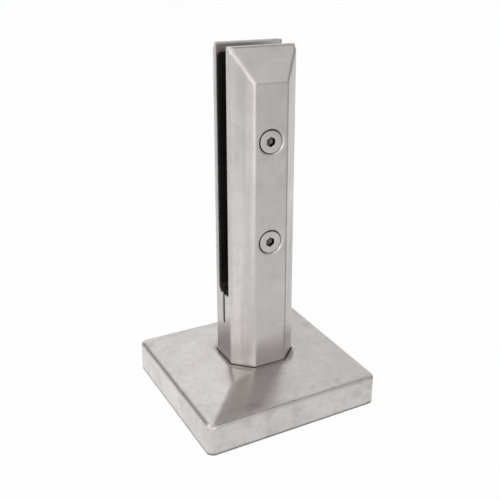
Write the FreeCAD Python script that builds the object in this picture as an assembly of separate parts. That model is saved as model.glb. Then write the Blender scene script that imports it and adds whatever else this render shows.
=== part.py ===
import FreeCAD, Part
import math
import os

# Floor-mounted glass spigot, in millimetres.
# Origin on the floor under the middle of the post, +Z up, screw heads on the -Y side.

# Post and its two jaws
post_side = 41.0
post_chamfer = 10.3
post_edge_radius = 3.0
post_height = 215.0
top_bevel_height = 18.2

# Glass slot and the saw cut under it
slot_width = 14.0
slot_floor_height = 68.0
slot_corner_radius = 2.5
slit_width = 3.2
slit_end_height = 48.4

# Anchor flange at the foot of the post
flange_thickness = 8.0
flange_corner_radius = 5.0
foot_fillet_radius = 3.0
anchor_edge_distance = 12.0
anchor_hole_diameter = 11.0

# Clamp screws with low cylindrical heads
lower_screw_height = 104.6
screw_spacing = 59.4
screw_diameter = 8.0
screw_length = 30.0
screw_tip_chamfer = 1.0
head_diameter = 13.0
head_height = 5.0
head_edge_chamfer = 0.3
head_recess = 0.2
counterbore_chamfer = 1.0
socket_across_flats = 5.0
socket_depth = 3.0

# Washers under the screw heads
washer_diameter = 13.0
washer_thickness = 1.6

# Rubber pads on the jaws and rubber sleeves on the screws
pad_thickness = 1.5
pad_side_margin = 1.0
pad_top_margin = 5.0
pad_floor_gap = 3.5
pad_corner_radius = 3.0
sleeve_diameter = 12.0

# Pressed dress cover
cover_side = 110.0
cover_sheet = 1.2
cover_skirt_height = 18.6
cover_rim_radius = 1.8
cover_corner_radius = 4.5
cover_collar_height = 25.2
cover_lip_degrees = 20.0
cover_flare_radius = 30.0
cover_corner_flare_radius = 12.0
cover_corner_lift_degrees = 4.0

# Clearances, each on one side
thread_clearance = 0.05
washer_bore_clearance = 0.2
counterbore_clearance = 0.3
sleeve_clearance = 0.3
screw_hole_clearance = 0.5
thread_end_clearance = 0.8
collar_side_gap = 0.5
collar_corner_gap = 0.8
cover_flange_gap = 3.8

# Places worked out from the sizes above
X_AXIS = FreeCAD.Vector(1, 0, 0)
Y_AXIS = FreeCAD.Vector(0, 1, 0)
Z_AXIS = FreeCAD.Vector(0, 0, 1)
ORIGIN = FreeCAD.Vector(0, 0, 0)
overcut = 1.0
front_face_y = -post_side / 2
face_half_width = post_side / 2 - post_chamfer
washer_seat_y = front_face_y + head_recess + head_height + washer_thickness
head_seat_y = washer_seat_y - washer_thickness
screw_tip_y = head_seat_y + screw_length
cover_lip_angle = math.radians(cover_lip_degrees)
flange_side = cover_side - 2 * (cover_sheet + cover_flange_gap)
anchor_spacing = flange_side - 2 * anchor_edge_distance
screw_heights = {"lower": lower_screw_height, "upper": lower_screw_height + screw_spacing}


def cylinder_along_y(diameter, start_y, end_y, height):
    """A round bar along Y at a given height over the floor."""
    return Part.makeCylinder(diameter / 2, end_y - start_y, FreeCAD.Vector(0, start_y, height), Y_AXIS)


def rounded_block(size_x, size_y, bottom, top, radius):
    """An upright block centred on the Z axis, with its four upright edges rounded."""
    corner = FreeCAD.Vector(-size_x / 2, -size_y / 2, bottom)
    block = Part.makeBox(size_x, size_y, top - bottom, corner)
    return block.makeFillet(radius, upright_edges(block))


def upright_edges(solid):
    """The straight edges of a solid that run along Z."""
    edges = []
    for edge in solid.Edges:
        run = edge.Vertexes[-1].Point - edge.Vertexes[0].Point
        if run.Length > 0 and abs(run.z) > 0.999 * run.Length:
            edges.append(edge)
    return edges


def prism_along_x(outline, length):
    """Extrude a closed outline of the YZ plane to both sides of X = 0."""
    face = Part.Face(outline)
    face.translate(X_AXIS * (-length / 2))
    return face.extrude(X_AXIS * length)


def yz_polygon(points):
    """A closed straight-sided outline in the YZ plane."""
    corners = [FreeCAD.Vector(0, y, z) for y, z in points]
    return Part.makePolygon(corners + corners[:1])


def octagonal_bar(length):
    """A square bar with wide corner chamfers, standing on the floor."""
    half = post_side / 2
    near = [(face_half_width, -half), (half, -face_half_width)]
    points = []
    for quarter in range(4):
        turn = FreeCAD.Rotation(Z_AXIS, 90 * quarter)
        points += [turn.multVec(FreeCAD.Vector(x, y, 0)) for x, y in near]
    return Part.Face(Part.makePolygon(points + points[:1])).extrude(Z_AXIS * length)


def top_bevel(spare):
    """What is cut off the front jaw's top, so that its hips run from face corner to side corner.

    The cut runs on above the post's top by the spare height.
    """
    lean = post_chamfer / top_bevel_height
    outline = yz_polygon([
        (front_face_y - overcut, post_height - top_bevel_height - overcut / lean),
        (-face_half_width + spare * lean, post_height + spare),
        (front_face_y - overcut, post_height + spare),
    ])
    return prism_along_x(outline, 2 * post_side)


def side_edges(solid, bottom, top):
    """The edges that lie neither in a solid's bottom plane nor in its top plane."""
    edges = []
    for edge in solid.Edges:
        box = edge.BoundBox
        if box.ZMax > bottom + 1e-6 and box.ZMin < top - 1e-6:
            edges.append(edge)
    return edges


def post():
    """The post, with a bevel over each jaw and every outer edge rounded, also where three of them meet.

    The bar is made too long, rounded while its bevels still run on, and then cut to its height.
    """
    spare = top_bevel_height / 4
    front_bevel = top_bevel(2 * spare)
    bar = octagonal_bar(post_height + spare).cut([front_bevel, front_bevel.mirror(ORIGIN, Y_AXIS)])
    bar = bar.makeFillet(post_edge_radius, side_edges(bar, 0, post_height + spare))
    corner = FreeCAD.Vector(-post_side, -post_side, post_height)
    return bar.cut(Part.makeBox(2 * post_side, 2 * post_side, 2 * spare, corner))


def glass_slot():
    """The slot between the jaws, with round floor corners and the saw cut that runs down from it."""
    half = slot_width / 2
    top = post_height + overcut
    slot = Part.makeBox(
        2 * post_side, slot_width, top - slot_floor_height,
        FreeCAD.Vector(-post_side, -half, slot_floor_height))
    floor_edges = []
    for edge in slot.Edges:
        ends = [vertex.Point for vertex in edge.Vertexes]
        level = all(abs(end.z - slot_floor_height) < 1e-6 for end in ends)
        if level and abs(ends[0].y - ends[1].y) < 1e-6:
            floor_edges.append(edge)
    slot = slot.makeFillet(slot_corner_radius, floor_edges)
    slit = Part.makeBox(
        2 * post_side, slit_width, slot_floor_height - slit_end_height + overcut,
        FreeCAD.Vector(-post_side, -slit_width / 2, slit_end_height))
    return slot.fuse(slit)


def screw_hole(height):
    """Counterbore and clearance hole in the front jaw, blind tapped hole in the rear jaw."""
    bore_radius = max(head_diameter, washer_diameter) / 2 + counterbore_clearance
    counterbore = cylinder_along_y(2 * bore_radius, front_face_y - overcut, washer_seat_y, height)
    mouth = Part.makeCone(
        bore_radius + counterbore_chamfer + overcut, bore_radius, counterbore_chamfer + overcut,
        FreeCAD.Vector(0, front_face_y - overcut, height), Y_AXIS)
    clearance_hole = cylinder_along_y(
        screw_diameter + 2 * screw_hole_clearance, washer_seat_y - overcut, 0, height)
    tapped_hole = cylinder_along_y(
        screw_diameter + 2 * thread_clearance, 0, screw_tip_y + thread_end_clearance, height)
    return counterbore.fuse([mouth, clearance_hole, tapped_hole])


def anchor_flange():
    """The square flange that the floor anchors hold down."""
    flange = rounded_block(flange_side, flange_side, 0, flange_thickness, flange_corner_radius)
    for x_sign in (-1, 1):
        for y_sign in (-1, 1):
            place = FreeCAD.Vector(x_sign * anchor_spacing / 2, y_sign * anchor_spacing / 2, -overcut)
            hole = Part.makeCylinder(anchor_hole_diameter / 2, flange_thickness + 2 * overcut, place)
            flange = flange.cut(hole)
    return flange


def foot_edges(solid):
    """The edges where the post's faces meet the top of the flange."""
    edges = []
    for edge in solid.Edges:
        box = edge.BoundBox
        level = abs(box.ZMin - flange_thickness) < 1e-6 and abs(box.ZMax - flange_thickness) < 1e-6
        reach = max(abs(box.XMin), abs(box.XMax), abs(box.YMin), abs(box.YMax))
        if level and reach < post_side / 2 + 1e-6:
            edges.append(edge)
    return edges


def spigot_body():
    """Post, jaws and flange, cast in one piece."""
    casting = post().fuse(anchor_flange()).removeSplitter()
    casting = casting.makeFillet(foot_fillet_radius, foot_edges(casting))
    casting = casting.cut(glass_slot())
    return casting.cut([screw_hole(height) for height in screw_heights.values()])


def clamp_screw(height):
    """Screw with a low round head, a hexagon socket and a chamfered tip."""
    head = cylinder_along_y(head_diameter, head_seat_y - head_height, head_seat_y, height)
    head_rim = [edge for edge in head.Edges if edge.BoundBox.YMax < head_seat_y - head_height + 1e-6]
    head = head.makeChamfer(head_edge_chamfer, head_rim)
    shank = cylinder_along_y(screw_diameter, head_seat_y, screw_tip_y, height)
    tip_rim = [edge for edge in shank.Edges if edge.BoundBox.YMin > screw_tip_y - 1e-6]
    shank = shank.makeChamfer(screw_tip_chamfer, tip_rim)
    corner_radius = socket_across_flats / math.sqrt(3)
    corners = []
    for side in range(7):
        angle = math.radians(60 * side)
        x = corner_radius * math.cos(angle)
        z = height + corner_radius * math.sin(angle)
        corners.append(FreeCAD.Vector(x, head_seat_y - head_height, z))
    socket = Part.Face(Part.makePolygon(corners)).extrude(Y_AXIS * socket_depth)
    return head.fuse(shank).removeSplitter().cut(socket)


def screw_washer(height):
    """Flat washer on the floor of the counterbore."""
    disc = cylinder_along_y(washer_diameter, head_seat_y, washer_seat_y, height)
    bore = cylinder_along_y(
        screw_diameter + 2 * washer_bore_clearance, head_seat_y - overcut, washer_seat_y + overcut, height)
    return disc.cut(bore)


def screw_sleeve(height):
    """Rubber sleeve that keeps the glass off the screw, between the two pads."""
    half_gap = slot_width / 2 - pad_thickness
    sleeve = cylinder_along_y(sleeve_diameter, -half_gap, half_gap, height)
    bore = cylinder_along_y(
        screw_diameter + 2 * sleeve_clearance, -half_gap - overcut, half_gap + overcut, height)
    return sleeve.cut(bore)


def rear_pad():
    """Rubber pad on the rear jaw's inner face, with holes for the screws."""
    width = post_side - 2 * pad_side_margin
    bottom = slot_floor_height + pad_floor_gap
    height = post_height - pad_top_margin - bottom
    inner_y = slot_width / 2 - pad_thickness
    pad = Part.makeBox(width, pad_thickness, height, FreeCAD.Vector(-width / 2, inner_y, bottom))
    corner_edges = [edge for edge in pad.Edges if edge.BoundBox.YLength > pad_thickness / 2]
    pad = pad.makeFillet(pad_corner_radius, corner_edges)
    hole_diameter = screw_diameter + 2 * screw_hole_clearance
    for screw_height in screw_heights.values():
        pad = pad.cut(cylinder_along_y(hole_diameter, inner_y - overcut, post_side, screw_height))
    return pad


def collar_reach():
    """Distance from the axis to the collar's edge, at the flat sides of the post."""
    return post_side / 2 + collar_side_gap


def corner_collar_reach():
    """Distance from the axis to the collar's edge, at the post's chamfers."""
    return (post_side - post_chamfer) / math.sqrt(2) + collar_corner_gap


def flare_centre(edge_reach, flare_radius):
    """Centre of the flare, whose sheet ends at the collar's edge and leans by the lip's angle there."""
    reach = edge_reach + (flare_radius + cover_sheet) * math.sin(cover_lip_angle)
    height = cover_collar_height + flare_radius * math.cos(cover_lip_angle)
    return reach, height


def rim_centre():
    """Centre of the round edge between the skirt and the slope."""
    return cover_side / 2 - cover_rim_radius, cover_skirt_height - cover_rim_radius


def cover_slope_angle():
    """Angle of the line that touches the rim's arc from above and the flare's arc from below."""
    flare_reach, flare_height = flare_centre(collar_reach(), cover_flare_radius)
    rim_reach, rim_height = rim_centre()
    run = flare_reach - rim_reach
    rise = flare_height - rim_height
    return math.atan2(run, rise) + math.acos((cover_flare_radius + cover_rim_radius) / math.hypot(run, rise))


def corner_slope_angle():
    """Angle of the corner facets, a little flatter than the hips, so that each runs out on its hip."""
    hip_angle = math.atan(math.tan(cover_slope_angle()) / math.sqrt(2))
    return hip_angle - math.radians(cover_corner_lift_degrees)


def arc_edge(centre, radius, start_angle, end_angle):
    """A round stretch of an outline in the YZ plane."""
    points = []
    for angle in (start_angle, (start_angle + end_angle) / 2, end_angle):
        y = centre[0] + radius * math.cos(angle)
        z = centre[1] + radius * math.sin(angle)
        points.append(FreeCAD.Vector(0, y, z))
    return Part.Arc(*points).toShape()


def cover_outline(inset, edge_reach, flare_radius, slope, skirted):
    """Closed section of the filled cover: collar, flare, slope and, where it has one, rim and skirt.

    An inset of zero gives the outside of the sheet, and the sheet's thickness gives its inside.
    """
    spare = overcut if inset else 0
    down = 1.5 * math.pi
    centre = flare_centre(edge_reach, flare_radius)
    flare = arc_edge(centre, flare_radius + inset, down - cover_lip_angle, down - slope)
    lip = flare.Vertexes[0].Point
    slope_top = flare.Vertexes[-1].Point
    edges = [flare]
    if skirted:
        rim = arc_edge(rim_centre(), cover_rim_radius - inset, math.pi / 2 - slope, 0)
        edges.append(Part.makeLine(slope_top, rim.Vertexes[0].Point))
        edges.append(rim)
        edge_of_slope = rim.Vertexes[-1].Point
    else:
        drop = (cover_side - slope_top.y) * math.tan(slope)
        edge_of_slope = FreeCAD.Vector(0, cover_side, slope_top.z - drop)
        edges.append(Part.makeLine(slope_top, edge_of_slope))
    foot = FreeCAD.Vector(0, edge_of_slope.y, -spare)
    edges.append(Part.makeLine(edge_of_slope, foot))
    top = FreeCAD.Vector(0, lip.y, cover_collar_height + spare)
    if inset:
        edges.append(Part.makeLine(lip, top))
    edges += [edge.mirror(ORIGIN, Y_AXIS) for edge in edges]
    for end in (top, foot):
        edges.append(Part.makeLine(end, FreeCAD.Vector(0, -end.y, end.z)))
    return Part.Wire(Part.__sortEdges__(edges))


def cover_corner(side_outline):
    """One filled corner: the side's section beyond the corner's centre, turned through a right angle."""
    centre = cover_side / 2 - cover_corner_radius
    beyond = Part.makeBox(
        cover_side, cover_side, 2 * cover_side, FreeCAD.Vector(-cover_side / 2, centre, -cover_side))
    section = Part.Face(side_outline).common(beyond)
    corner = section.revolve(FreeCAD.Vector(0, centre, 0), Z_AXIS, -90)
    corner.translate(X_AXIS * centre)
    return corner


def cover_form(inset):
    """The filled cover: four crossed prisms, which mitre along the hips and the corner facets.

    Outside the corners' centres the mitres give way to turned corners.
    """
    side_outline = cover_outline(
        inset, collar_reach(), cover_flare_radius, cover_slope_angle(), True)
    corner_outline = cover_outline(
        inset, corner_collar_reach(), cover_corner_flare_radius, corner_slope_angle(), False)
    form = prism_along_x(side_outline, 2 * cover_side)
    for outline, turn in ((side_outline, 90), (corner_outline, 45), (corner_outline, 135)):
        prism = prism_along_x(outline, 2 * cover_side)
        prism.rotate(ORIGIN, Z_AXIS, turn)
        form = form.common(prism)
    centre = cover_side / 2 - cover_corner_radius
    corner = cover_corner(side_outline)
    mitre = Part.makeBox(
        cover_side, cover_side, 2 * cover_side, FreeCAD.Vector(centre, centre, -cover_side))
    for quarter in range(4):
        form = form.cut(mitre).fuse(corner)
        mitre.rotate(ORIGIN, Z_AXIS, 90)
        corner.rotate(ORIGIN, Z_AXIS, 90)
    return form.removeSplitter()


def base_cover():
    """Pressed sheet cover: skirt, rounded rim, hipped slope and a collar that flares up round the post."""
    return cover_form(0).cut(cover_form(cover_sheet))


# One file for each piece
rear = rear_pad()
nodes = {
    "spigot_body": spigot_body(),
    "base_cover": base_cover(),
    "rear_pad": rear,
    "front_pad": rear.mirror(ORIGIN, Y_AXIS),
}
for place, height in screw_heights.items():
    nodes[place + "_clamp_screw"] = clamp_screw(height)
    nodes[place + "_screw_washer"] = screw_washer(height)
    nodes[place + "_screw_sleeve"] = screw_sleeve(height)

os.makedirs("parts", exist_ok=True)
for name, shape in nodes.items():
    shape.exportStep("parts/" + name + ".step")
    box = shape.BoundBox
    print(name, len(shape.Solids), shape.isValid(), round(shape.Volume, 1), len(shape.Faces),
          [round(v, 2) for v in (box.XMin, box.XMax, box.YMin, box.YMax, box.ZMin, box.ZMax)])
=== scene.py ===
import math

import bpy
from mathutils import Matrix, Vector


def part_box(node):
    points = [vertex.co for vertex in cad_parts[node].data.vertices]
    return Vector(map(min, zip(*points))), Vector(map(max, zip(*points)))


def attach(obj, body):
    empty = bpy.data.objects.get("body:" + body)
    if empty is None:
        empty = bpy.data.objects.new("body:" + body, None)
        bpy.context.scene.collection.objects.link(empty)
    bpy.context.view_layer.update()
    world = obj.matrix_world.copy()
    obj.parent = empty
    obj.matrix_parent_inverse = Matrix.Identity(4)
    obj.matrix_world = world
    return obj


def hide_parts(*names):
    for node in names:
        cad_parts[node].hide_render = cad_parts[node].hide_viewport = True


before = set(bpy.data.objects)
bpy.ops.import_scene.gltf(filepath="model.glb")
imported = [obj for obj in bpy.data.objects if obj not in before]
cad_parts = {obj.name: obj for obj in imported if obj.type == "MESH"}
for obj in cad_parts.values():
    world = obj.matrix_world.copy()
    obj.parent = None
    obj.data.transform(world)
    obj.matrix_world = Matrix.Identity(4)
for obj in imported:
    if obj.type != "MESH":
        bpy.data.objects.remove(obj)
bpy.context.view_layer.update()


# Casting: post, jaws and anchor flange
# One stainless casting, ground flat and brushed lengthwise with a fine belt, its top bevels across.
# The mouth of its slot is left dull. It is bolted to the floor, and carries all the other pieces.
def feed(tree, socket, value):
    if isinstance(value, bpy.types.NodeSocket):
        tree.links.new(value, socket)
    else:
        socket.default_value = value


def speckle(tree, place, scale, detail, roughness=0.5):
    noise = tree.nodes.new("ShaderNodeTexNoise")
    feed(tree, noise.inputs["Vector"], place)
    feed(tree, noise.inputs["Scale"], scale)
    feed(tree, noise.inputs["Detail"], detail)
    feed(tree, noise.inputs["Roughness"], roughness)
    return noise.outputs["Fac"]


def fade(tree, value, start, stop, at_start=0.0, at_stop=1.0):
    ranged = tree.nodes.new("ShaderNodeMapRange")
    feed(tree, ranged.inputs["Value"], value)
    feed(tree, ranged.inputs["From Min"], start)
    feed(tree, ranged.inputs["From Max"], stop)
    feed(tree, ranged.inputs["To Min"], at_start)
    feed(tree, ranged.inputs["To Max"], at_stop)
    return ranged.outputs["Result"]


# A Mix node has sockets for every kind of value: the places of its two inputs and its output.
mix_sockets = {"FLOAT": (2, 3, 0), "VECTOR": (4, 5, 1), "RGBA": (6, 7, 2)}


def mix(tree, kind, share, first, second, blend_type="MIX"):
    mixed = tree.nodes.new("ShaderNodeMix")
    mixed.data_type = kind
    mixed.blend_type = blend_type
    first_place, second_place, result_place = mix_sockets[kind]
    feed(tree, mixed.inputs[0], share)
    feed(tree, mixed.inputs[first_place], first)
    feed(tree, mixed.inputs[second_place], second)
    return mixed.outputs[result_place]


steel_finish = bpy.data.node_groups.new("steel_finish", "ShaderNodeTree")
for in_out, name, kind in (
        ("INPUT", "Grain Place", "Vector"), ("INPUT", "Cloud Place", "Vector"),
        ("INPUT", "Light Steel", "Color"), ("INPUT", "Dark Steel", "Color"),
        ("INPUT", "Smoothest", "Float"), ("INPUT", "Roughest", "Float"),
        ("OUTPUT", "Colour", "Color"), ("OUTPUT", "Roughness", "Float"),
        ("OUTPUT", "Height", "Float")):
    steel_finish.interface.new_socket(name, in_out=in_out, socket_type="NodeSocket" + kind)
finish_in = steel_finish.nodes.new("NodeGroupInput").outputs
finish_out = steel_finish.nodes.new("NodeGroupOutput").inputs
cloud_share = 0.65
grain = speckle(steel_finish, finish_in["Grain Place"], scale=1.0, detail=3.0, roughness=0.6)
cloud = speckle(steel_finish, finish_in["Cloud Place"], scale=45.0, detail=6.0, roughness=0.68)
tone = mix(steel_finish, "FLOAT", cloud_share, grain, cloud)
spread = fade(steel_finish, tone, start=0.36, stop=0.64)
shade = mix(steel_finish, "RGBA", spread, finish_in["Dark Steel"], finish_in["Light Steel"])
blot = speckle(steel_finish, finish_in["Cloud Place"], scale=170.0, detail=3.0)
smudge = fade(steel_finish, blot, start=0.52, stop=0.70, at_start=1.0, at_stop=0.94)
smudged = mix(steel_finish, "RGBA", 1.0, shade, smudge, "MULTIPLY")
gloss = fade(steel_finish, tone, start=0.3, stop=0.7,
             at_start=finish_in["Roughest"], at_stop=finish_in["Smoothest"])
feed(steel_finish, finish_out["Colour"], smudged)
feed(steel_finish, finish_out["Roughness"], gloss)
feed(steel_finish, finish_out["Height"], grain)


def steel_material(name, light, dark, smoothest, roughest):
    material = bpy.data.materials.new(name)
    material.use_nodes = True
    tree = material.node_tree
    steel = tree.nodes["Principled BSDF"].inputs
    steel["Metallic"].default_value = 1.0
    place = tree.nodes.new("ShaderNodeTexCoord").outputs
    finish = tree.nodes.new("ShaderNodeGroup")
    finish.node_tree = steel_finish
    finish.inputs["Light Steel"].default_value = light
    finish.inputs["Dark Steel"].default_value = dark
    finish.inputs["Smoothest"].default_value = smoothest
    finish.inputs["Roughest"].default_value = roughest
    feed(tree, finish.inputs["Cloud Place"], place["Object"])
    return material, tree, steel, place, finish


def stretch(tree, place, scale, shift=(0.0, 0.0, 0.0)):
    mapping = tree.nodes.new("ShaderNodeMapping")
    mapping.inputs["Location"].default_value = shift
    mapping.inputs["Scale"].default_value = scale
    feed(tree, mapping.inputs["Vector"], place)
    return mapping.outputs["Vector"]


def parts(tree, vector):
    split = tree.nodes.new("ShaderNodeSeparateXYZ")
    feed(tree, split.inputs["Vector"], vector)
    return split.outputs


def reckon(tree, operation, first, second=0.0, clamped=False):
    sum_node = tree.nodes.new("ShaderNodeMath")
    sum_node.operation = operation
    sum_node.use_clamp = clamped
    feed(tree, sum_node.inputs[0], first)
    feed(tree, sum_node.inputs[1], second)
    return sum_node.outputs["Value"]


brushed_casting, tree, steel, place, finish = steel_material(
    "brushed_casting", light=(0.675, 0.645, 0.625, 1), dark=(0.58, 0.552, 0.534, 1),
    smoothest=0.24, roughest=0.34)
across_grain, along_grain = 1900.0, 110.0
along_post = stretch(tree, place["Object"], (across_grain, across_grain, along_grain))
across_bevel = stretch(tree, place["Object"], (along_grain, across_grain, across_grain))
facing = parts(tree, place["Normal"])
on_bevel = fade(tree, facing["Z"], start=0.1, stop=0.3)
ground_way = mix(tree, "VECTOR", on_bevel, along_post, across_bevel)
feed(tree, finish.inputs["Grain Place"], ground_way)

# The belt leaves broad soft streaks along the chamfers. The upward-facing bevels are painted a
# little lighter, as painted light falling from above.
bevel_painted_light = fade(tree, on_bevel, start=0.0, stop=1.0, at_start=1.0, at_stop=1.06)
streak_place = stretch(tree, place["Object"], (200.0, 200.0, 12.0), shift=(2.3, 11.1, 9.0))
streak_noise = speckle(tree, streak_place, scale=1.0, detail=1.0)
belt_streaks = fade(tree, streak_noise, start=0.35, stop=0.65, at_start=0.92, at_stop=1.10)
corner_facing = reckon(tree, "MULTIPLY", facing["X"], facing["Y"])
on_chamfer = fade(tree, reckon(tree, "ABSOLUTE", corner_facing), start=0.2, stop=0.4)
chamfer_streaks = mix(tree, "FLOAT", on_chamfer, 1.0, belt_streaks)
streaks_and_bevel_light = reckon(tree, "MULTIPLY", bevel_painted_light, chamfer_streaks)
toned = mix(tree, "RGBA", 1.0, finish.outputs["Colour"], streaks_and_bevel_light, "MULTIPLY")
feed(tree, steel["Base Color"], toned)

slot_wall, past_slot_wall, cast_roughness = 0.0071, 0.0073, 0.43
spot = parts(tree, place["Object"])
in_slot = fade(tree, reckon(tree, "ABSOLUTE", spot["Y"]), start=slot_wall, stop=past_slot_wall,
               at_start=cast_roughness, at_stop=0.0)
near_mouth = fade(tree, spot["Z"], start=0.18, stop=0.205)
as_cast = reckon(tree, "MULTIPLY", in_slot, near_mouth)
feed(tree, steel["Roughness"], reckon(tree, "MAXIMUM", finish.outputs["Roughness"], as_cast))


def soft_edge(tree, radius, samples):
    bevel = tree.nodes.new("ShaderNodeBevel")
    bevel.samples = samples
    bevel.inputs["Radius"].default_value = radius
    return bevel.outputs["Normal"]


def rough_up(tree, surface, height, strength, depth, normal=None):
    bump = tree.nodes.new("ShaderNodeBump")
    bump.inputs["Strength"].default_value = strength
    bump.inputs["Distance"].default_value = depth
    feed(tree, bump.inputs["Height"], height)
    if normal is not None:
        feed(tree, bump.inputs["Normal"], normal)
    feed(tree, surface["Normal"], bump.outputs["Normal"])


worn_edge = soft_edge(tree, radius=0.0016, samples=8)
rough_up(tree, steel, finish.outputs["Height"], strength=0.12, depth=0.0002, normal=worn_edge)


def dress(node_name, material):
    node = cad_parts[node_name]
    node.data.materials.clear()
    node.data.materials.append(material)


dress("spigot_body", brushed_casting)


# Rubber liners
# Two black rubber strips, moulded with round corners and two screw holes each.
# They are bonded to the jaws' inner faces, and the glass is squeezed between them.
moulded_rubber = bpy.data.materials.new("moulded_rubber")
moulded_rubber.use_nodes = True
tree = moulded_rubber.node_tree
rubber = tree.nodes["Principled BSDF"].inputs
rubber["Specular IOR Level"].default_value = 0.2
place = tree.nodes.new("ShaderNodeTexCoord").outputs
bloom = speckle(tree, place["Object"], scale=90.0, detail=5.0)
black = tree.nodes.new("ShaderNodeValToRGB")
for stop, position, colour in zip(
        black.color_ramp.elements, (0.3, 0.75),
        ((0.0035, 0.0033, 0.0032, 1), (0.009, 0.0085, 0.0082, 1))):
    stop.position = position
    stop.color = colour
feed(tree, black.inputs["Fac"], bloom)
feed(tree, rubber["Base Color"], black.outputs["Color"])
matt = fade(tree, bloom, start=0.0, stop=1.0, at_start=0.55, at_stop=0.8)
feed(tree, rubber["Roughness"], matt)
mould_grain = speckle(tree, place["Object"], scale=2200.0, detail=2.0)
rough_up(tree, rubber, mould_grain, strength=0.25, depth=0.0001)


def pick(piece, kind, wanted):
    bpy.ops.object.mode_set(mode="EDIT")
    bpy.ops.mesh.select_mode(type=kind)
    bpy.ops.mesh.select_all(action="DESELECT")
    bpy.ops.object.mode_set(mode="OBJECT")
    for element in piece.data.edges if kind == "EDGE" else piece.data.polygons:
        element.select = wanted(element)
    bpy.ops.object.mode_set(mode="EDIT")


def add_rod(sides, radius, length, middle):
    bpy.ops.object.select_all(action="DESELECT")
    bpy.ops.mesh.primitive_cylinder_add(
        vertices=sides, radius=radius, depth=length, location=middle,
        rotation=(math.pi / 2, 0, 0))
    bpy.ops.object.transform_apply(location=True, rotation=True, scale=True)
    return bpy.context.object


def cut_away(piece, tool):
    cut = piece.modifiers.new("cut", "BOOLEAN")
    cut.operation = "DIFFERENCE"
    cut.object = tool
    bpy.context.view_layer.objects.active = piece
    bpy.ops.object.modifier_apply(modifier="cut")
    bpy.data.objects.remove(tool)


def round_edges(piece, width, sharper_than):
    bpy.ops.object.select_all(action="DESELECT")
    piece.select_set(True)
    bpy.context.view_layer.objects.active = piece
    rounding = piece.modifiers.new("rounding", "BEVEL")
    rounding.width = width
    rounding.segments = 3
    rounding.limit_method = "ANGLE"
    rounding.angle_limit = math.radians(sharper_than)
    bpy.ops.object.modifier_apply(modifier="rounding")


screw_hole_radius = 0.0045
hole_length = 0.01
liner_corner = 0.003
moulded_edge = 0.0003
shortest_through_edge = 0.001


def through_liner(edge):
    near_end, far_end = (liner.data.vertices[index].co for index in edge.vertices)
    return abs(near_end.y - far_end.y) > shortest_through_edge


for liner_name in ("rear_pad", "front_pad"):
    lowest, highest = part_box(liner_name)
    middle = (lowest + highest) / 2
    bpy.ops.object.select_all(action="DESELECT")
    bpy.ops.mesh.primitive_cube_add(size=1, location=middle, scale=highest - lowest)
    liner = bpy.context.object
    bpy.ops.object.transform_apply(location=True, rotation=True, scale=True)
    pick(liner, "EDGE", through_liner)
    bpy.ops.mesh.bevel(offset=liner_corner, segments=8, affect="EDGES")
    bpy.ops.object.mode_set(mode="OBJECT")
    for screw_name in ("lower_clamp_screw", "upper_clamp_screw"):
        screw_low, screw_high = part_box(screw_name)
        screw_height = (screw_low.z + screw_high.z) / 2
        punch = add_rod(sides=48, radius=screw_hole_radius, length=hole_length,
                        middle=(0, middle.y, screw_height))
        cut_away(liner, punch)
    round_edges(liner, moulded_edge, sharper_than=50)
    bpy.ops.object.shade_smooth_by_angle(angle=math.radians(35))
    liner.name = liner_name.replace("pad", "liner")
    liner.data.materials.append(moulded_rubber)
    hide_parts(liner_name)
    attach(liner, "casting")


# Rubber sleeves
# A short length of black rubber tube on each screw, cut square and softened at its edges.
# It fills the hole in the glass, so that the pane never touches the steel.
sleeve_wall = 0.0017
end_facing = 0.9
for sleeve_name in ("lower_screw_sleeve", "upper_screw_sleeve"):
    lowest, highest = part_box(sleeve_name)
    size = highest - lowest
    sleeve = add_rod(sides=64, radius=size.x / 2, length=size.y, middle=(lowest + highest) / 2)
    pick(sleeve, "FACE", lambda face: abs(face.normal.y) > end_facing)
    bpy.ops.mesh.inset(thickness=sleeve_wall, use_individual=True)
    bpy.ops.mesh.bridge_edge_loops()
    bpy.ops.object.mode_set(mode="OBJECT")
    round_edges(sleeve, moulded_edge, sharper_than=50)
    bpy.ops.object.shade_smooth_by_angle(angle=math.radians(35))
    sleeve.name = sleeve_name.replace("screw_sleeve", "rubber_sleeve")
    sleeve.data.materials.append(moulded_rubber)
    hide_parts(sleeve_name)
    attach(sleeve, "casting")


# Washers
# A plain stainless washer lies on the floor of each counterbore, under the screw head.
# It is stamped from sheet, and tumbled until its edges are dull.
tumbled_steel, tree, steel, place, finish = steel_material(
    "tumbled_steel", light=(0.6, 0.58, 0.56, 1), dark=(0.46, 0.44, 0.43, 1),
    smoothest=0.35, roughest=0.5)
all_ways = stretch(tree, place["Object"], (1500.0, 1500.0, 1500.0))
feed(tree, finish.inputs["Grain Place"], all_ways)
feed(tree, steel["Base Color"], finish.outputs["Colour"])
feed(tree, steel["Roughness"], finish.outputs["Roughness"])
for washer_name in ("lower_screw_washer", "upper_screw_washer"):
    dress(washer_name, tumbled_steel)


# Clamp screws
# Turned stainless screws with a low round head, a hexagon socket and a rolled thread.
# They pass through the front jaw, both liners and the sleeve, into tapped holes in the rear jaw.
def reckon_way(tree, operation, first, second=(0.0, 0.0, 0.0)):
    sum_node = tree.nodes.new("ShaderNodeVectorMath")
    sum_node.operation = operation
    feed(tree, sum_node.inputs[0], first)
    feed(tree, sum_node.inputs[1], second)
    return sum_node.outputs["Vector" if operation == "NORMALIZE" else "Value"]


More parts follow.
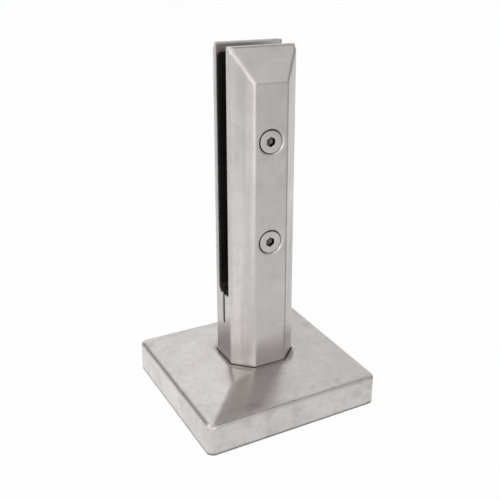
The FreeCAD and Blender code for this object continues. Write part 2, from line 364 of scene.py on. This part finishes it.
head_radius = 0.0065
head_height = 0.00498
turned_edge = 0.0004
socket_across_flats = 0.005
socket_depth = 0.003
socket_cone = 0.0009
socket_reach = 0.0031
# Depths over which the socket's painted shade deepens.
socket_shade_start, socket_shade_stop = 0.0002, 0.0012
thread_radius = 0.004
thread_root = 0.00338
thread_pitch = 0.00125
thread_steps = 24
thread_profile = ((thread_root, 0.0), (thread_radius, 0.43), (thread_radius, 0.55),
                  (thread_root, 0.98), (thread_root, 1.0))
into_head = 0.0002
ring_fineness = 4200.0
for place_name in ("lower", "upper"):
    lowest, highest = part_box(place_name + "_clamp_screw")
    axis_height = (lowest.z + highest.z) / 2
    head_seat = lowest.y + head_height
    screw = add_rod(sides=96, radius=head_radius, length=head_height,
                    middle=(0, head_seat - head_height / 2, axis_height))
    broach = add_rod(sides=6, radius=socket_across_flats / math.sqrt(3), length=2 * socket_depth,
                     middle=(0, lowest.y, axis_height))
    pick(broach, "FACE", lambda face: face.normal.y > end_facing)
    bpy.ops.mesh.extrude_region_move(TRANSFORM_OT_translate={"value": (0, socket_cone, 0)})
    bpy.ops.mesh.merge(type="CENTER")
    bpy.ops.object.mode_set(mode="OBJECT")
    cut_away(screw, broach)
    round_edges(screw, turned_edge, sharper_than=40)

    bpy.ops.object.select_all(action="DESELECT")
    bpy.ops.mesh.primitive_plane_add(size=thread_pitch, location=(0, 0, 0))
    shank = bpy.context.object
    bpy.ops.object.mode_set(mode="EDIT")
    bpy.ops.mesh.select_all(action="SELECT")
    bpy.ops.mesh.merge(type="CENTER")
    for (radius_before, step_before), (radius_after, step_after) in zip(
            thread_profile, thread_profile[1:]):
        rise, advance = radius_after - radius_before, (step_after - step_before) * thread_pitch
        bpy.ops.mesh.extrude_vertices_move(TRANSFORM_OT_translate={"value": (rise, advance, 0)})
    bpy.ops.object.mode_set(mode="OBJECT")
    shank.data.transform(Matrix.Translation((thread_root, head_seat - 1.5 * thread_pitch, 0)))
    rolling = shank.modifiers.new("thread", "SCREW")
    rolling.axis = "Y"
    rolling.screw_offset = thread_pitch
    rolling.iterations = math.ceil((highest.y - head_seat) / thread_pitch) + 2
    rolling.steps = thread_steps
    rolling.render_steps = thread_steps
    rolling.use_merge_vertices = True
    rolling.merge_threshold = 1e-6
    bpy.ops.object.modifier_apply(modifier="thread")
    shank.data.transform(Matrix.Translation((0, 0, axis_height)))
    bpy.ops.object.mode_set(mode="EDIT")
    for cut_y, cut_way in ((highest.y, 1), (head_seat - into_head, -1)):
        bpy.ops.mesh.select_all(action="SELECT")
        bpy.ops.mesh.bisect(
            plane_co=(0, cut_y, axis_height), plane_no=(0, cut_way, 0),
            use_fill=True, clear_outer=True)
    bpy.ops.mesh.select_all(action="SELECT")
    bpy.ops.mesh.normals_make_consistent(inside=False)
    bpy.ops.object.mode_set(mode="OBJECT")
    bpy.ops.object.select_all(action="DESELECT")
    shank.select_set(True)
    screw.select_set(True)
    bpy.context.view_layer.objects.active = screw
    bpy.ops.object.join()
    bpy.ops.object.shade_smooth_by_angle(angle=math.radians(25))
    screw.name = place_name + "_screw"

    turned_steel, tree, steel, place, finish = steel_material(
        "turned_steel_" + place_name, light=(0.70, 0.67, 0.65, 1), dark=(0.58, 0.555, 0.537, 1),
        smoothest=0.26, roughest=0.36)
    from_axis = stretch(tree, place["Object"], (1, 0, 1), shift=(0, 0, -axis_height))
    reach = reckon_way(tree, "LENGTH", from_axis)
    ring_place = tree.nodes.new("ShaderNodeCombineXYZ")
    feed(tree, ring_place.inputs["X"], reckon(tree, "MULTIPLY", reach, ring_fineness))
    feed(tree, finish.inputs["Grain Place"], ring_place.outputs["Vector"])
    # Inside the socket the colour is darkened towards its floor, as painted shade in the recess.
    socket_depth_shade = fade(tree, parts(tree, place["Object"])["Y"],
                        start=lowest.y + socket_shade_start, stop=lowest.y + socket_shade_stop,
                        at_start=1.0, at_stop=0.2)
    outside_socket = reckon(tree, "GREATER_THAN", reach, socket_reach)
    socket_shading = reckon(tree, "MAXIMUM", socket_depth_shade, outside_socket)
    shaded_in_socket = mix(tree, "RGBA", 1.0, finish.outputs["Colour"], socket_shading, "MULTIPLY")
    feed(tree, steel["Base Color"], shaded_in_socket)
    feed(tree, steel["Roughness"], finish.outputs["Roughness"])
    rough_up(tree, steel, finish.outputs["Height"], strength=0.12, depth=0.0001)
    screw.data.materials.clear()
    screw.data.materials.append(turned_steel)
    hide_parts(place_name + "_clamp_screw")
    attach(screw, place_name + "_screw")


# Dress cover
# One stainless sheet, pressed into a square hipped cover with a collar that flares round the post.
# Each side is brushed along its own edge. It lies loose over the flange and slides up the post.
brushed_cover, tree, steel, place, finish = steel_material(
    "brushed_cover", light=(0.735, 0.704, 0.684, 1), dark=(0.60, 0.57, 0.551, 1),
    smoothest=0.21, roughest=0.30)
across_grain, along_grain = 1500.0, 260.0
along_x = stretch(tree, place["Object"], (along_grain, across_grain, across_grain))
along_y = stretch(tree, place["Object"], (across_grain, along_grain, across_grain))
facing = parts(tree, place["Normal"])
sideways = reckon(tree, "ABSOLUTE", facing["X"])
forward = reckon(tree, "ABSOLUTE", facing["Y"])
which_side = reckon(tree, "GREATER_THAN", sideways, reckon(tree, "ADD", forward, 0.01))
feed(tree, finish.inputs["Grain Place"], mix(tree, "VECTOR", which_side, along_x, along_y))

# The skirt carries the marks of handling, and its lowest millimetre is painted darker, as painted
# shade where the skirt meets the floor.
height = parts(tree, place["Object"])["Z"]
floor_line_shade = fade(tree, height, start=0.0003, stop=0.0014, at_start=0.4, at_stop=1.0)
above_rim = fade(tree, height, start=0.0187, stop=0.0200)
handling = speckle(tree, place["Object"], scale=120.0, detail=3.0)
marks = fade(tree, handling, start=0.50, stop=0.70, at_start=1.0, at_stop=0.84)
skirt_marks = reckon(tree, "MAXIMUM", marks, above_rim)
marks_and_shade = reckon(tree, "MULTIPLY", skirt_marks, floor_line_shade)
marked_and_shaded = mix(tree, "RGBA", 1.0, finish.outputs["Colour"], marks_and_shade, "MULTIPLY")
feed(tree, steel["Base Color"], marked_and_shaded)
feed(tree, steel["Roughness"], finish.outputs["Roughness"])

# The folds of the front and back slopes are softer than the rim's.
rim_fold = soft_edge(tree, radius=0.0035, samples=8)
soft_fold = soft_edge(tree, radius=0.006, samples=12)
soft_here = reckon(tree, "SUBTRACT", above_rim, which_side, clamped=True)
folded = mix(tree, "VECTOR", soft_here, rim_fold, soft_fold)
rough_up(tree, steel, finish.outputs["Height"], strength=0.1, depth=0.0002, normal=folded)
dress("base_cover", brushed_cover)


# Floor
# A plain white sweep of paper that runs into the background and takes the object's soft shadow.
# The steel sees it dimmer to the right and lighter far in front, as the post's edges show.
bpy.ops.object.select_all(action="DESELECT")
bpy.ops.mesh.primitive_plane_add(size=12, location=(0, 0, 0))
floor = bpy.context.object
floor.name = "floor"
white_sweep = bpy.data.materials.new("white_sweep")
white_sweep.use_nodes = True
tree = white_sweep.node_tree
tree.nodes.remove(tree.nodes["Principled BSDF"])
paper = tree.nodes.new("ShaderNodeBsdfDiffuse")
paper.inputs["Color"].default_value = (0.95, 0.95, 0.95, 1)
glow = tree.nodes.new("ShaderNodeEmission")
glow_share = 0.95
rays = tree.nodes.new("ShaderNodeLightPath").outputs
camera_or_gloss = reckon(tree, "MAXIMUM", rays["Is Camera Ray"], rays["Is Glossy Ray"])
seen = reckon(tree, "MAXIMUM", camera_or_gloss, rays["Is Transmission Ray"])
blend = tree.nodes.new("ShaderNodeMixShader")
feed(tree, blend.inputs[0], reckon(tree, "MULTIPLY", seen, glow_share))
feed(tree, blend.inputs[1], paper.outputs["BSDF"])
feed(tree, blend.inputs[2], glow.outputs["Emission"])
feed(tree, tree.nodes["Material Output"].inputs["Surface"], blend.outputs["Shader"])

right_and_front = (1.0, -0.8, 0.0)
right_and_back = (1.0, 1.0, 0.0)
dark_stripe_way = (0.97, -0.24, 0.0)
light_stripe_way = (-0.36, -0.933, 0.0)
floor_greys = ((0.09, 0.84), (0.17, 1.0), (0.24, 0.98), (0.36, 0.84),
               (0.50, 0.79), (0.72, 0.76), (0.92, 0.725))
spot = tree.nodes.new("ShaderNodeTexCoord").outputs["Object"]
dimmer_right = tree.nodes.new("ShaderNodeValToRGB")
stops = dimmer_right.color_ramp.elements
stops[0].position, stops[1].position = floor_greys[0][0], floor_greys[-1][0]
for position, grey in floor_greys[1:-1]:
    stops.new(position)
for stop, (position, grey) in zip(stops, floor_greys):
    stop.color = (grey, grey, grey, 1)
ramp_place = fade(tree, reckon_way(tree, "DOT_PRODUCT", spot, right_and_front),
                  start=-0.3, stop=0.7)
feed(tree, dimmer_right.inputs["Fac"], ramp_place)
lighter_behind = fade(tree, reckon_way(tree, "DOT_PRODUCT", spot, right_and_back),
                      start=0.2, stop=0.5, at_start=1.0, at_stop=1.14)
floor_light = reckon(tree, "MULTIPLY", dimmer_right.outputs["Color"], lighter_behind)
spot_way = reckon_way(tree, "NORMALIZE", spot)
dark_stripe = fade(tree, reckon_way(tree, "DOT_PRODUCT", spot_way, dark_stripe_way),
                   start=0.91, stop=0.97, at_start=1.0, at_stop=0.5)
floor_shade = reckon(tree, "MULTIPLY", floor_light, dark_stripe)
lighter_far = fade(tree, reckon_way(tree, "LENGTH", spot),
                   start=0.25, stop=0.55, at_start=1.0, at_stop=1.6)
light_stripe = fade(tree, reckon_way(tree, "DOT_PRODUCT", spot_way, light_stripe_way),
                    start=0.93, stop=0.99, at_start=1.0, at_stop=lighter_far)
floor_tone = reckon(tree, "MULTIPLY", floor_shade, light_stripe)
feed(tree, glow.inputs["Strength"], mix(tree, "FLOAT", rays["Is Camera Ray"], floor_tone, 1.0))
floor.data.materials.append(white_sweep)


# Light
# A soft white room, dimmer on the right and in six patches that the steel shows as darker tones.
# Three softboxes, on the left, at the front left and in front, pick out the rounded edges.
room = bpy.data.worlds.new("white_room")
bpy.context.scene.world = room
room.use_nodes = True
tree = room.node_tree
sky = tree.nodes["Background"]
sky.inputs["Color"].default_value = (1, 1, 1, 1)
rays = tree.nodes.new("ShaderNodeLightPath").outputs
way = tree.nodes.new("ShaderNodeTexCoord").outputs["Generated"]
brightness = fade(tree, parts(tree, way)["X"], start=0.1, stop=0.5, at_start=1.0, at_stop=0.74)
for dim_way, edge_cosine, heart_cosine, heart_level in (
        ((0.36, -0.25, 0.90), 0.93, 0.99, 0.1),
        ((-0.46, -0.22, 0.86), 0.93, 0.985, 0.2),
        ((-0.57, 0.80, 0.17), 0.88, 0.99, 0.55),
        ((0.96, -0.20, 0.17), 0.85, 0.98, 0.40),
        ((-0.35, 0.75, 0.555), 0.94, 0.985, 0.05),
        ((0.46, -0.88, 0.10), 0.90, 0.99, 0.6)):
    dimmer = fade(tree, reckon_way(tree, "DOT_PRODUCT", way, dim_way),
                  start=edge_cosine, stop=heart_cosine, at_start=1.0, at_stop=heart_level)
    brightness = reckon(tree, "MULTIPLY", brightness, dimmer)
feed(tree, sky.inputs["Strength"], mix(tree, "FLOAT", rays["Is Camera Ray"], brightness, 1.0))
lamp_aim = Vector((0, 0, 0.1))
for lamp_name, lamp_spot, side, power in (
        ("left_softbox", Vector((-0.7, 0.35, 0.9)), 0.7, 1.0),
        ("corner_softbox", Vector((-0.92, -0.57, 0.70)), 0.6, 0.6),
        ("front_softbox", Vector((-0.40, -1.2, 0.32)), 0.8, 0.9)):
    lamp = bpy.data.lights.new(lamp_name, "AREA")
    lamp.shape = "RECTANGLE"
    lamp.size = side
    lamp.size_y = side
    lamp.energy = power
    softbox = bpy.data.objects.new(lamp_name, lamp)
    bpy.context.scene.collection.objects.link(softbox)
    softbox.location = lamp_spot
    softbox.rotation_euler = (lamp_aim - lamp_spot).to_track_quat("-Z", "Y").to_euler()


# Camera
# The photograph's own point of view, a little above the post and to its left.
# Its place and lens were fitted to the object's edges in the photograph.
azimuth, elevation, roll = (math.radians(angle) for angle in (-33.859, 20.239, 2.541))
distance, sideways_shift, upward_shift = 0.47953, 0.05635, 0.007095
focal_pixels, middle_u, middle_v, frame_pixels = 812.23, 350.0, 210.0, 500.0
camera_aim = Vector((0, 0, 0.11))
sensor_width = 36.0
back = Vector((
    math.sin(azimuth) * math.cos(elevation),
    -math.cos(azimuth) * math.cos(elevation),
    math.sin(elevation)))
level_right = Vector((math.cos(azimuth), math.sin(azimuth), 0))
level_up = back.cross(level_right)
right = math.cos(roll) * level_right + math.sin(roll) * level_up
up = -math.sin(roll) * level_right + math.cos(roll) * level_up
eye = camera_aim + back * distance + right * sideways_shift + up * upward_shift
lens = bpy.data.cameras.new("photo_camera")
lens.sensor_width = sensor_width
lens.lens = focal_pixels / frame_pixels * sensor_width
lens.shift_x = (frame_pixels / 2 - middle_u) / frame_pixels
lens.shift_y = (middle_v - frame_pixels / 2) / frame_pixels
lens.clip_start = 0.01
camera = bpy.data.objects.new("photo_camera", lens)
bpy.context.scene.collection.objects.link(camera)
turn = Matrix((right, up, back)).transposed().to_4x4()
camera.matrix_world = Matrix.Translation(eye) @ turn
bpy.context.scene.camera = camera
bpy.context.scene.view_settings.view_transform = "Standard"
